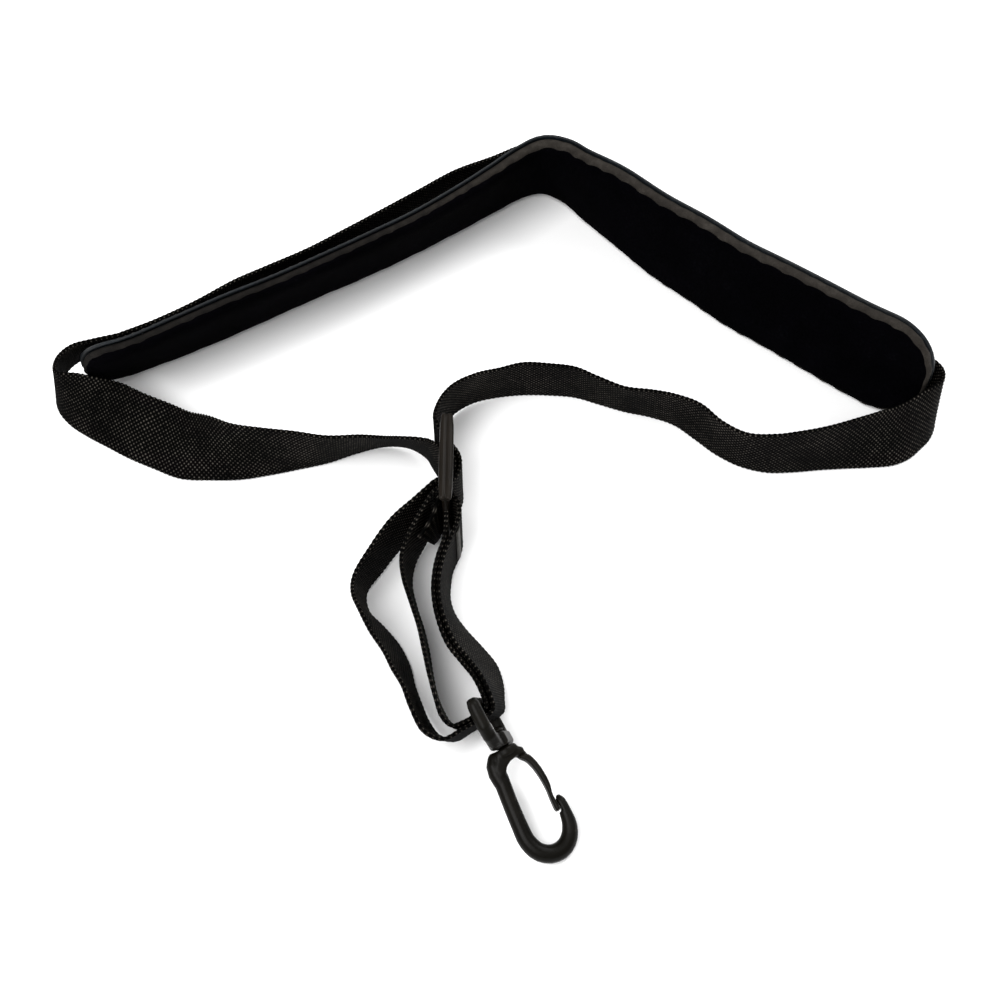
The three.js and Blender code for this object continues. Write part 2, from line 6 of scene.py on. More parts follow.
import bpy
import bmesh
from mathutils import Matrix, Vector

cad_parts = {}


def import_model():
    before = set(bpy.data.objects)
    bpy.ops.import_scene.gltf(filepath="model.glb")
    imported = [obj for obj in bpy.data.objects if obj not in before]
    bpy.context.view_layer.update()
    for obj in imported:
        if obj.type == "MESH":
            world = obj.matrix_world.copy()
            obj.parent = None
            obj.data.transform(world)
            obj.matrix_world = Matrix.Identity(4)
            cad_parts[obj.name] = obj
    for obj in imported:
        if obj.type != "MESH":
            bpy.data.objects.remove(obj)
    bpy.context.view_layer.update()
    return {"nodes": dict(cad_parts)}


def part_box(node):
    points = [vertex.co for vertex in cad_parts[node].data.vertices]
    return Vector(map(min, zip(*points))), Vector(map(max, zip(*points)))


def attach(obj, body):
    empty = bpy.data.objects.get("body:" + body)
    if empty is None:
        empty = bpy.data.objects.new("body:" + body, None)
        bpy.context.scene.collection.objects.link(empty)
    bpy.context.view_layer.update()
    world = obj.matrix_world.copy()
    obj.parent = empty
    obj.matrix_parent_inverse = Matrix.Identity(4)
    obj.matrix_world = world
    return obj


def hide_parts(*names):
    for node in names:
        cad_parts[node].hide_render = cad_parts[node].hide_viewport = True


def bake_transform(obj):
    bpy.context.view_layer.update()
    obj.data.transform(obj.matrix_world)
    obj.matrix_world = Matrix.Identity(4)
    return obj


MM = 0.001

# Sizes in millimetres, as in the CAD part.
WEB_WIDTH = 25.0
WEB_HALF = 0.75  # half the webbing's thickness
WEAVE_PITCH = 0.9
WEAVE_COLUMNS = 26
WEAVE_HEIGHT = 0.2
SELVAGE = 0.45
TACK_MARGIN = 3.0
TACK_HALF_LENGTH = 1.5
TACK_THREAD = 0.26
PAD_WIDTH = 45.0
PAD_END_RADIUS = 20.0
PAD_THICK = 7.0
EDGE_INSET = 1.9
STITCH_INSET = 3.0
STITCH_PITCH = 4.0
STITCH_THREAD = 0.3
PLUSH_INSET = 1.5
PLUSH_EDGE_DEPTH = 1.6
PLUSH_CROWN = 1.2
FOAM_BACK_DEPTH = 5.3
BINDING_DEPTH = 5.5
RAIL_WIDTH = 15.8
RIDGE_HEIGHT = 32.6
RIDGE_OFFSET = 1.05
SLIDER_CENTRE_DRAWN = Vector((-18.5, -2.0, 16.8))
EYE_CENTRE = Vector((-6.4, -87.8, 18.35))
SWIVEL_AXIS = Vector((0.4806, -0.8325, -0.2756))
HOOK_SIDE = Vector((0.866, 0.5, 0.0))
EYE_SIDE = Vector((-0.1365, -0.3815, 0.9142))

# How finely a route is sampled, and how far apart its normal's two samples lie.
ROUTE_STEPS = 24
NORMAL_STEP = 0.9

# Routes repeated from the CAD part: x, y, z of the lower edge, lean of the upper edge in x and y.
# LEFT_ROUTE differs from the part in two ways. It starts where PAD_RUN ends, without the part's small gap.
# Four leans after its first fold take the upper edge 2 to 4 mm further back.
PAD_PATH = [
    (-155.5, 46.5, 0, 8.2, -14.2), (-141, 53.5, 0, 8.9, -18.4), (-123, 62, 0, 8.8, -17.6),
    (-106, 71, 0, 9.3, -16.6), (-89, 81, 0, 10, -17), (-72, 91, 0, 9.8, -17.1),
    (-54, 101, 0, 9.6, -16.4), (-36, 112, 0, 7.2, -17.4), (-18, 124, 0, 5.6, -17),
    (-3, 134.5, 0, 3.8, -16.4), (8, 142, 0, 2, -15.8), (17, 145, 0, 0.2, -14.5),
    (25.5, 140, 0, -1.2, -11.5), (33, 131, 0, -2, -8), (46, 116.5, 0, -2.3, -2.1),
    (59, 102, 0, -0.6, -0.6), (73, 89.5, 0.1, 0.5, 0.6), (86, 77.5, 0.2, 1, 1.2),
    (100, 67, 0.4, 1.4, 1.9), (113, 57, 0.5, 1.9, 2.5), (126.5, 46.5, 0.6, 2.3, 3.2),
    (140, 37, 0.7, 2.4, 4.6), (152, 29.6, 0.7, 2.3, 5.2),
]
PAD_RUN = [
    (-142.6, 57.7, 12, 5, -9), (-129, 64, 11.5, 4.5, -8.5), (-114.5, 70.3, 11, 3.5, -6.5),
    (-101.5, 79.3, 11, 3.5, -6), (-89.5, 86.2, 11, 3.4, -6), (-75.4, 94.1, 11, 3.4, -5.8),
    (-61.5, 103.8, 11, 3.4, -5.8), (-50.4, 111.8, 11, 3.4, -5.8), (-34.7, 122.9, 11, 3.4, -5.5),
    (-20.6, 132.7, 11, 3.2, -5.2), (-5.4, 142, 10, 2.6, -6.2), (7, 149, 9.5, 1.4, -6.6),
    (18.5, 152.4, 9.3, 0, -6.5), (29.5, 147.9, 9.3, -0.8, -5), (40.5, 137.9, 9.4, -1, -3),
    (53, 122.9, 9.4, -0.8, -1.2), (79.7, 96.2, 9.4, 0.3, 0.3), (106.3, 74.3, 9.3, 0.8, 1.1),
    (132.6, 55.3, 8.5, 1.3, 1.9), (144.9, 47.5, 7, 1.5, 2.3),
]
LEFT_ROUTE = [
    (-142.6, 57.7, 12, 5, -9), (-151, 57.8, 10.5, 4, -10.2), (-158.5, 56, 8.8, 4, -9.7),
    (-163.7, 52.2, 6.3, 4.5, -8.5), (-166.3, 45.8, 3.6, 5.3, -5.5), (-165.3, 38.5, 1.4, 5.5, 0),
    (-160.5, 32.4, 0.3, 7, 7.6), (-153.5, 27.2, 0.3, 7.6, 12.6), (-145, 22.1, 0.5, 6.6, 18),
    (-136.5, 17.2, 0.6, 5.5, 20.6), (-127.5, 13, 0.6, 6.8, 20), (-117, 8.6, 0.6, 4.8, 19.5),
    (-105.8, 8, 0.4, 1, 15.5), (-94.9, 8.6, 0, -1.2, 9.5), (-84.3, 10.7, 0, -1, 4.5),
    (-73.7, 13.4, 0, 0, 0), (-63.1, 16.3, 0, 1.5, -4.7), (-52.9, 20.5, 0, 2.8, -8),
    (-42.2, 23.3, 0.4, 1, -11), (-33, 21.7, 1.5, -3, -10.3), (-26.2, 15.6, 3.3, -0.5, -7),
]
LEFT_WEAVE = [
    (-24.4, 12, 3.7, -0.2, -4.6), (-22.9, 9, 3.8, 0, -2.6), (-21, 6.2, 3.8, 0, -1),
    (-18.4, 3.4, 3.8, 0, 0), (-16.4, 1, 3.8, 0, 0), (-15.9, -1, 3.8, 0, 0), (-15.9, -3.2, 3.8, 0, 0),
    (-17.2, -5.7, 3.8, 0, 0), (-19.8, -7.6, 3.8, 0, 0), (-22.4, -8.9, 3.8, 0, 0),
]
RIGHT_ROUTE = [
    (144.9, 47.5, 7, 1.5, 2.3), (152.5, 43.4, 4.5, 1, 1.5), (158.7, 38.8, 2, 1, 1.5),
    (161.8, 32.8, 0, -1.5, 4), (159.4, 26.3, 0, -3, 7.5), (155.5, 22, 0, -3, 10),
    (150.5, 17.5, 0, -3.5, 11), (144.5, 14.8, 0, -2.5, 11), (135.7, 13.9, 0, -0.5, 9),
    (126, 13.5, 0, 0, 5.5), (116.4, 12.9, 0, 0, 2.7), (106.8, 12, 0, 0, 1.4), (97.3, 12, 0, 0, 0),
    (88.3, 14.6, 0, -0.9, -2), (80.2, 19.5, 0, -1.3, -1.8), (72.8, 26.2, 0, -1, -1),
    (65.3, 32.8, 0, -2.2, -3.4), (56.3, 36.6, 0, -1.7, -5.1), (46.9, 39, 0, -1.8, -6),
    (37.5, 42.3, 0, -1.8, -5), (28.2, 45.5, 0, -0.9, -4), (18.4, 46.5, 0, -0.2, -3.6),
    (8.5, 46.6, 0, 0.2, -3.2), (-1.3, 45.2, 0.3, 1, -4.4), (-10.6, 42, 1, 2.2, -3.9),
    (-18.3, 35.4, 2, 2, -2.5), (-22, 27, 3, 1, -1),
]
RIGHT_WEAVE = [
    (-23.1, 17.6, 3.8, 0, 0), (-21.9, 14.4, 3.8, 0, 0), (-21.2, 12, 3.8, 0, 0), (-20, 9.6, 3.8, 0, 0),
    (-17.2, 6.2, 3.8, 0, 0), (-14.8, 2.8, 3.8, 0, 0), (-13.9, 0, 3.8, 0, 0), (-13.9, -4, 3.8, 0, 0),
    (-15.2, -7.4, 3.8, 0, 0), (-17.8, -10, 3.8, 0, 0), (-20.7, -11.5, 3.8, 0, 0),
    (-23.1, -13.4, 3.8, 0, 0),
]
LEFT_LEG = [
    (-22.6, -9, 3.7, 0, 0), (-28, -14, 2.5, -1, -1), (-35.2, -21, 1.5, -2, -2),
    (-41.5, -30, 1, -2.5, -4), (-46.8, -38.5, 0.5, -2, -5.5), (-45.6, -45.8, 0.4, -3.5, -4.5),
    (-40, -52, 0.4, -6.5, -4.5), (-34.7, -58.5, 0.4, -8, -5.5), (-30.8, -66.3, 0.5, -7.2, -5),
    (-28.8, -74, 0.8, -6, -4), (-26.3, -81, 1.4, -5, -3.2), (-23.7, -87.4, 2.2, -4.8, -4.5),
    (-19.8, -92.8, 2.9, -4.5, -7.3), (-14.3, -94.3, 4.2, -3.8, -9), (-8.8, -91.3, 5.2, -3.4, -9.3),
    (-2.6, -87.8, 5.4, -3.4, -9.3),
]
RIGHT_LEG = [
    (-23.4, -13.9, 3.7, 0, 0), (-26.6, -20, 2.5, -0.3, 0), (-30.2, -28, 1.5, -0.6, -0.3),
    (-31, -36, 1, -2.2, -0.5), (-29.2, -44, 0.6, -3.2, -0.7), (-26.4, -53, 0.5, -3.2, -0.8),
    (-24.3, -62, 0.5, -2.5, -0.5), (-22.8, -71, 0.8, -2, -0.3), (-21, -79, 1.8, -1.8, -1.5),
    (-18.6, -85, 3, -2, -4), (-16, -89, 3.8, -2.6, -6.5), (-12.2, -90.5, 4.6, -3.2, -8.5),
    (-8.2, -88.8, 5.4, -3.4, -9.3), (-3.5, -86.1, 5.6, -3.4, -9.3),
]
RETURN_INNER = [
    (-18.3, -21.5, 3.8, 0, 0), (-18.4, -26, 3.3, 0, 0), (-18.9, -31, 2.5, 0, 0),
    (-19.6, -36, 1.8, -1, 0), (-19.6, -42, 1.2, -2.4, -0.4), (-17.6, -48, 0.7, -4.8, -2),
    (-13.7, -54.2, 0.4, -7.5, -4), (-8.2, -60.8, 0.3, -9.5, -7), (-3.4, -67.5, 0.8, -9.2, -7.6),
    (-1.5, -74.5, 2.2, -7, -7), (-1.3, -80.5, 4.6, -4, -9.1), (-1.2, -83.8, 5.4, -3.4, -9.3),
    (-3.1, -85.8, 5.6, -3.4, -9.3),
]
RETURN_OUTER = [
    (-2.1, -87.6, 5.4, -3.4, -9.3), (1, -84.6, 5.2, -3.4, -9.3), (1.1, -80.4, 4.4, -4, -9.1),
    (0.9, -74.1, 2.2, -7, -7), (-1.2, -66.3, 0.8, -9.2, -7.6), (-6.2, -59.3, 0.3, -9.5, -7),
    (-11.9, -52.8, 0.4, -7.5, -4), (-15.8, -47.1, 0.7, -4.8, -2), (-17.6, -41.6, 1.2, -2.4, -0.4),
    (-17.6, -36, 1.8, -1, 0), (-17.1, -32.2, 2.6, 0, 0),
]
FOLD = [
    (-16.2, -29.5, 3, 0, 0), (-14.7, -26, 3.4, 0, 0), (-13.7, -22, 3.8, 0, 0), (-14.1, -18, 3.8, 0, 0),
    (-15.6, -15.2, 3.8, 0, 0), (-17.2, -13.9, 3.8, 0, 0), (-18.9, -13.8, 3.8, 0, 0),
    (-20.4, -14.6, 3.8, 0, 0), (-21.1, -16.2, 3.8, 0, 0), (-21.5, -17.7, 3.8, -0.8, -3.5),
    (-22.4, -19.2, 3.8, -2.2, -7), (-23.6, -20.6, 3.9, -4, -10),
]

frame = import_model()
slider_low, slider_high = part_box("slider")
# The drawing's origin in the frame: the slider's middle says how far the part was shifted.
ORIGIN = (Vector(slider_low) + Vector(slider_high)) / 2 - SLIDER_CENTRE_DRAWN * MM


def placed(point):
    """A point drawn in millimetres, in the frame's metres."""
    return ORIGIN + Vector(point) * MM


# ---------------------------------------------------------------- surfaces


class Ribbon:
    """A surface swept along a route, addressed by length, height and depth in millimetres."""

    def __init__(self, route, width):
        self.width = width
        self.knots = [Vector(p[:3]) for p in route]
        self.leans = [Vector((p[3], p[4], 0)) for p in route]
        self.samples = []
        for i in range(len(route) - 1):
            for k in range(ROUTE_STEPS):
                self.samples.append(self._raw(i, k / ROUTE_STEPS))
        self.samples.append(self._raw(len(route) - 2, 1.0))
        self.lengths = [0.0]
        for a, b in zip(self.samples, self.samples[1:]):
            self.lengths.append(self.lengths[-1] + (b[0] - a[0]).length)
        self.length = self.lengths[-1]

    def _raw(self, i, t):
        """Centripetal Catmull-Rom for the lower edge, uniform for the lean, between knots i and i + 1."""
        last = len(self.knots) - 1
        p1, p2 = self.knots[i], self.knots[i + 1]
        p0 = self.knots[i - 1] if i > 0 else p1 * 2 - p2
        p3 = self.knots[i + 2] if i + 2 <= last else p2 * 2 - p1
        d0 = max((p1 - p0).length_squared ** 0.25, 1e-4)
        d1 = max((p2 - p1).length_squared ** 0.25, 1e-4)
        d2 = max((p3 - p2).length_squared ** 0.25, 1e-4)
        m1 = ((p1 - p0) / d0 - (p2 - p0) / (d0 + d1) + (p2 - p1) / d1) * d1
        m2 = ((p2 - p1) / d1 - (p3 - p1) / (d1 + d2) + (p3 - p2) / d2) * d1
        low = hermite(p1, p2, m1, m2, t)
        l1, l2 = self.leans[i], self.leans[i + 1]
        l0 = self.leans[i - 1] if i > 0 else l1 * 2 - l2
        l3 = self.leans[i + 2] if i + 2 <= last else l2 * 2 - l1
        lean = hermite(l1, l2, (l2 - l0) / 2, (l3 - l1) / 2, t)
        lean.z = math.sqrt(self.width**2 - lean.x**2 - lean.y**2)
        return low, lean

    def edge(self, length, height):
        """The point on the middle surface, between the two samples nearest to the length."""
        length = min(max(length, 0.0), self.length)
        low, high = 0, len(self.lengths) - 1
        while high - low > 1:
            mid = (low + high) // 2
            if self.lengths[mid] <= length:
                low = mid
            else:
                high = mid
        t = (length - self.lengths[low]) / (self.lengths[high] - self.lengths[low])
        a, b = self.samples[low], self.samples[high]
        return a[0].lerp(b[0], t) + a[1].lerp(b[1], t) * (height / self.width)

    def frame_at(self, length, height):
        """The point on the middle surface and its outward normal."""
        ahead = self.edge(length + NORMAL_STEP, height)
        behind = self.edge(length - NORMAL_STEP, height)
        across = self.edge(length, self.width) - self.edge(length, 0)
        return self.edge(length, height), across.cross(ahead - behind).normalized()

    def at(self, length, height, depth):
        point, normal = self.frame_at(length, height)
        return point + normal * depth


def hermite(p1, p2, m1, m2, t):
    """A cubic from p1 to p2 that leaves and arrives along m1 and m2."""
    t2, t3 = t * t, t * t * t
    return p1 * (2 * t3 - 3 * t2 + 1) + m1 * (t3 - 2 * t2 + t) + p2 * (3 * t2 - 2 * t3) + m2 * (t3 - t2)


# ---------------------------------------------------------------- materials


class Nodes:
    """Short helper for building a node material."""

    def __init__(self, name):
        self.material = bpy.data.materials.new(name)
        self.material.use_nodes = True
        self.tree = self.material.node_tree
        self.shader = self.tree.nodes["Principled BSDF"]

    def add(self, kind, **values):
        node = self.tree.nodes.new(kind)
        for key, value in values.items():
            if hasattr(node, key):
                setattr(node, key, value)
            else:
                node.inputs[key.replace("_", " ")].default_value = value
        return node

    def link(self, source, target):
        self.tree.links.new(source, target)

    def math(self, operation, a, b=None):
        node = self.add("ShaderNodeMath", operation=operation)
        for slot, value in ((0, a), (1, b)):
            if value is None:
                continue
            if isinstance(value, (int, float)):
                node.inputs[slot].default_value = value
            else:
                self.link(value, node.inputs[slot])
        return node.outputs[0]

    def coordinates(self, kind="Object"):
        return self.add("ShaderNodeTexCoord").outputs[kind]

    def noise(self, scale, detail=3.0, roughness=0.6, vector=None):
        node = self.add("ShaderNodeTexNoise", Scale=scale, Detail=detail, Roughness=roughness)
        self.link(vector or self.coordinates(), node.inputs["Vector"])
        return node.outputs["Fac"]

    def ramp(self, factor, stops):
        node = self.add("ShaderNodeValToRGB")
        elements = node.color_ramp.elements
        while len(elements) < len(stops):
            elements.new(0.5)
        for element, (position, colour) in zip(elements, stops):
            element.position = position
            element.color = (*colour, 1)
        self.link(factor, node.inputs["Fac"])
        return node.outputs["Color"]

    def bump(self, height, strength, distance, below=None):
        node = self.add("ShaderNodeBump", Strength=strength, Distance=distance)
        self.link(height, node.inputs["Height"])
        if below is not None:
            self.link(below, node.inputs["Normal"])
        return node.outputs["Normal"]

    def finish(self, colour, normal, roughness, **sockets):
        self.link(colour, self.shader.inputs["Base Color"])
        self.link(normal, self.shader.inputs["Normal"])
        if isinstance(roughness, float):
            self.shader.inputs["Roughness"].default_value = roughness
        else:
            self.link(roughness, self.shader.inputs["Roughness"])
        for key, value in sockets.items():
            self.shader.inputs[key.replace("_", " ")].default_value = value
        return self.material


def webbing_material():
    """Woven webbing: a painted highlight on every raised pick, painted shade, near black, in the hollows
    between them.
    """
    n = Nodes("webbing")
    split = n.add("ShaderNodeSeparateXYZ")
    n.link(n.coordinates("UV"), split.inputs[0])
    pick = n.math("COSINE", n.math("MULTIPLY", split.outputs[0], math.pi / WEAVE_PITCH))
    column = (WEB_WIDTH - 2 * SELVAGE) / WEAVE_COLUMNS
    inside = n.math("SUBTRACT", split.outputs[1], SELVAGE)
    end = n.math("COSINE", n.math("MULTIPLY", inside, math.pi / column))
    level = n.math("ADD", n.math("MULTIPLY", n.math("MULTIPLY", pick, end), 0.5), 0.5)
    broad = n.math("MULTIPLY", n.math("SUBTRACT", n.noise(55.0, 2.0), 0.5), 0.5)
    loose = n.math("MULTIPLY", n.math("SUBTRACT", n.noise(700.0, 1.0), 0.5), 0.5)
    mixed = n.math("ADD", level, n.math("ADD", broad, loose))
    # Painted highlight on each raised pick and painted shade in the hollows between them; the two noises add
    # random tone.
    colour = n.ramp(mixed, [
        (0.4, (0.0003, 0.0003, 0.0003)), (0.68, (0.0018, 0.0016, 0.0014)),
        (0.86, (0.018, 0.0163, 0.0138)), (1.0, (0.062, 0.056, 0.048)),
    ])
    normal = n.bump(n.noise(2600.0, 2.0), 0.3, 0.0001)
    normal = n.bump(level, 0.9, 0.0003, normal)
    return n.finish(colour, normal, 0.7, Specular_IOR_Level=0.02)


def plush_material():
    """Short pile: near black, with faint patches where it lies differently."""
    n = Nodes("pad_plush")
    patches = n.noise(60.0, 4.0)
    pile = n.noise(3200.0, 3.0)
    flecks = n.noise(900.0, 1.0)
    mixed = n.math("ADD", n.math("MULTIPLY", patches, 0.6), n.math("MULTIPLY", flecks, 0.4))
    colour = n.ramp(mixed, [
        (0.3, (0.0003, 0.0003, 0.0004)), (0.6, (0.0009, 0.0008, 0.0013)), (0.85, (0.004, 0.0037, 0.005)),
    ])
    normal = n.bump(patches, 0.25, 0.001)
    normal = n.bump(pile, 0.6, 0.0003, normal)
    return n.finish(colour, normal, 0.95, Specular_IOR_Level=0.005)


def rolled_edge_material():
    """Rolled binding with a mottled, fibrous face, paler towards the right wing."""
    n = Nodes("pad_rolled_edge")
    patches = n.noise(260.0, 3.0)
    fibre = n.noise(2400.0, 3.0)
    split = n.add("ShaderNodeSeparateXYZ")
    n.link(n.coordinates(), split.inputs[0])
    # Paler towards the right wing and darker towards the left, graded along x.
    tone_shift = n.math("MAXIMUM", n.math("MINIMUM", n.math("MULTIPLY", split.outputs[0], 5.0), 0.08), -0.25)
    mixed = n.math("ADD", n.math("MULTIPLY", patches, 0.6), n.math("MULTIPLY", fibre, 0.3))
    mixed = n.math("ADD", mixed, tone_shift)
    colour = n.ramp(mixed, [
        (0.05, (0.0018, 0.0015, 0.0013)), (0.25, (0.006, 0.005, 0.0043)),
        (0.55, (0.018, 0.0155, 0.013)), (0.85, (0.045, 0.04, 0.035)),
    ])
    normal = n.bump(patches, 0.4, 0.0006)
    normal = n.bump(fibre, 0.4, 0.0002, normal)
    return n.finish(colour, normal, 0.85, Specular_IOR_Level=0.1)


def cover_material():
    """Leathercloth with a fine pebble grain, paler on its high spots."""
    n = Nodes("pad_cover")
    grain = n.add("ShaderNodeTexVoronoi", Scale=900.0)
    n.link(n.coordinates(), grain.inputs["Vector"])
    pebble = grain.outputs["Distance"]
    patches = n.noise(70.0, 4.0)
    mixed = n.math("ADD", n.math("MULTIPLY", pebble, 0.35), n.math("MULTIPLY", patches, 0.65))
    colour = n.ramp(mixed, [
        (0.25, (0.0015, 0.0022, 0.003)), (0.55, (0.003, 0.0048, 0.0065)), (0.9, (0.014, 0.019, 0.024)),
    ])
    normal = n.bump(patches, 0.2, 0.0008)
    normal = n.bump(pebble, 0.45, 0.0002, normal)
    return n.finish(colour, normal, 0.5, Specular_IOR_Level=0.22)


def thread_material():
    """Twisted sewing thread."""
    n = Nodes("thread")
    twist = n.add("ShaderNodeTexWave", Scale=900.0, Distortion=2.0)
    n.link(n.coordinates(), twist.inputs["Vector"])
    colour = n.ramp(twist.outputs["Fac"], [
        (0.2, (0.012, 0.0115, 0.01)), (0.8, (0.07, 0.067, 0.06)),
    ])
    normal = n.bump(twist.outputs["Fac"], 0.5, 0.00015)
    return n.finish(colour, normal, 0.6, Specular_IOR_Level=0.3)


def plastic_material(name, dark, mid, light, shine, ridges):
    """Moulded plastic: fine spark texture, faint flow marks, painted shade in hollows and creases, and convex
    edges a little paler.
    """
    n = Nodes(name)
    flow = n.noise(35.0, 3.0)
    spark = n.noise(2200.0, 2.0)
    # Pointiness paints shade into hollows and creases and makes convex edges a little paler.
    pointy = n.add("ShaderNodeNewGeometry").outputs["Pointiness"]
    tone_shift = n.math("MULTIPLY", n.math("SUBTRACT", pointy, 0.5), 2.2)
    mixed = n.math("ADD", n.math("MULTIPLY", flow, 0.9), tone_shift)
    colour = n.ramp(mixed, [(0.25, dark), (0.5, mid), (0.85, light)])
    normal = n.bump(spark, 0.22, 0.00012)
    if ridges:
        lines = n.add("ShaderNodeTexWave", Scale=520.0, Distortion=0.6, Detail=1.0)
        n.link(n.coordinates(), lines.inputs["Vector"])
        normal = n.bump(lines.outputs["Fac"], 0.3, 0.00015, normal)
    rough = n.math("ADD", n.math("MULTIPLY", flow, 0.16), 0.32)
    return n.finish(colour, normal, rough, Specular_IOR_Level=shine)


WEBBING = webbing_material()
PLUSH = plush_material()
ROLLED = rolled_edge_material()
COVER = cover_material()
THREAD = thread_material()
HOOK_PLASTIC = plastic_material(
    "hook_plastic", (0.0012, 0.001, 0.0007), (0.0028, 0.0024, 0.0016), (0.014, 0.0122, 0.0095), 0.07, False
)
SLIDER_PLASTIC = plastic_material(
    "slider_plastic", (0.004, 0.0031, 0.0022), (0.009, 0.007, 0.0052), (0.03, 0.025, 0.02), 0.08, True
)


# ---------------------------------------------------------------- mesh helpers


def mesh_object(name, vertices, faces, material, uvs=None):
    """A smooth-shaded object from points in drawn millimetres; uvs gives a pair per vertex."""
    mesh = bpy.data.meshes.new(name)
    mesh.from_pydata([placed(v) for v in vertices], [], faces)
    if uvs:
        layer = mesh.uv_layers.new(name="UVMap")
        for loop in mesh.loops:
            layer.data[loop.index].uv = uvs[loop.vertex_index]
    mesh.materials.append(material)
    work = bmesh.new()
    work.from_mesh(mesh)
    bmesh.ops.recalc_face_normals(work, faces=work.faces)
    work.to_mesh(mesh)
    work.free()
    for polygon in mesh.polygons:
        polygon.use_smooth = True
    piece = bpy.data.objects.new(name, mesh)
    bpy.context.scene.collection.objects.link(piece)
    return piece


def ring_faces(rings, sides, closed_loop):
    """Quads between neighbouring rings; a sweep that isn't a closed loop gets end caps."""
    faces = []
    spans = rings if closed_loop else rings - 1
    for i in range(spans):
        a, b = i * sides, ((i + 1) % rings) * sides
        for k in range(sides):
            m = (k + 1) % sides
            faces.append((a + k, a + m, b + m, b + k))
    if not closed_loop:
        faces.append(tuple(range(sides - 1, -1, -1)))
        last = (rings - 1) * sides
        faces.append(tuple(range(last, last + sides)))
    return faces


def woven_strip(name, route):
    """Webbing with raised picks on both faces and a bound selvage along each edge."""
    ribbon = Ribbon(route, WEB_WIDTH)
    rows = max(round(ribbon.length / WEAVE_PITCH), 8)
    vertices, uvs = [], []
    woven_width = WEB_WIDTH - 2 * SELVAGE
    columns = [SELVAGE + woven_width * k / WEAVE_COLUMNS for k in range(WEAVE_COLUMNS + 1)]
    for i in range(rows + 1):
        length = ribbon.length * i / rows
        pick = -1 if i % 2 else 1
        for side in (1, -1):
            order = columns if side > 0 else columns[::-1]
            for k, height in enumerate(order):
                lump = -pick if k % 2 else pick
                edge = 0.1 if k in (1, WEAVE_COLUMNS - 1) else 0.0
                depth = side * (WEB_HALF - WEAVE_HEIGHT + edge) + WEAVE_HEIGHT * lump * 0.5
                vertices.append(ribbon.at(length, height, depth))
                uvs.append((i * WEAVE_PITCH, height))
            rim = WEB_WIDTH - 0.1 + 0.16 * pick if side > 0 else 0.1 - 0.16 * pick
            vertices.append(ribbon.at(length, rim, 0.2 * pick))
            uvs.append((i * WEAVE_PITCH, rim))
    sides = 2 * (WEAVE_COLUMNS + 2)
    return mesh_object(name, vertices, ring_faces(rows + 1, sides, False), WEBBING, uvs)


def swivel_point(u, v, w):
    """A drawn point from the swivel: u along its axis, v across the hook, w along the eye's width."""
    return EYE_CENTRE + SWIVEL_AXIS * u + HOOK_SIDE * v + EYE_SIDE * w


def rod_shape(centres, radii):
    """Points and faces of a round-ended rod through the centres."""
    sides = 16
    first = (centres[0] - centres[1]).normalized()
    last = (centres[-1] - centres[-2]).normalized()
    dome = (0.98, 0.8, 0.45)
    rings = []
    for share in dome:
        rounded = radii[0] * math.sqrt(1 - share * share)
        rings.append((centres[0] + first * (radii[0] * share), rounded, first))
    for i, (centre, radius) in enumerate(zip(centres, radii)):
        run = centres[min(i + 1, len(centres) - 1)] - centres[max(i - 1, 0)]
        rings.append((centre, radius, -run.normalized()))
    for share in reversed(dome):
        rounded = radii[-1] * math.sqrt(1 - share * share)
        rings.append((centres[-1] + last * (radii[-1] * share), rounded, -last))
    reference = Vector((0.3, 0.2, 0.93))  # a direction that no rod runs along
    vertices = []
    for centre, radius, facing in rings:
        side = facing.cross(reference).normalized()
        other = facing.cross(side).normalized()
        for k in range(sides):
            angle = 2 * math.pi * k / sides
            vertices.append(centre + side * (radius * math.cos(angle)) + other * (radius * math.sin(angle)))
    return vertices, ring_faces(len(rings), sides, False)


def moulded(name, node, body, material, voxel, rounds, fillets=()):
    """The CAD fitting fused with its fillets by a voxel remesh, then softened by rounds of smoothing."""
    source = frame["nodes"][node]
    work = bmesh.new()
    work.from_mesh(source.data)
    for centres, radii in fillets:
        vertices, faces = rod_shape(centres, radii)
        corners = [work.verts.new(placed(v)) for v in vertices]
        for face in faces:
            work.faces.new([corners[i] for i in face])
    bmesh.ops.recalc_face_normals(work, faces=work.faces)
    mesh = bpy.data.meshes.new(name)
    work.to_mesh(mesh)
    work.free()
    mesh.materials.append(material)
    piece = bpy.data.objects.new(name, mesh)
    bpy.context.scene.collection.objects.link(piece)
    remesh = piece.modifiers.new("soften", "REMESH")
    remesh.mode = "VOXEL"
    remesh.voxel_size = voxel * MM
    remesh.use_smooth_shade = True
    relax = piece.modifiers.new("relax", "SMOOTH")
    relax.factor = 0.5
    relax.iterations = rounds
    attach(piece, body)
    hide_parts(node)


# ---------------------------------------------------------------- webbing


def webbing_piece(name, route, nodes, motion):
    piece = woven_strip(name, route)
    motion(piece)
    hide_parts(*nodes)


def rides(body):
    """The whole piece moves with one body."""
    return lambda piece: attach(piece, body)


def bends():
    """Bakes the piece's transform into its mesh; the piece follows no body."""
    return lambda piece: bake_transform(piece)


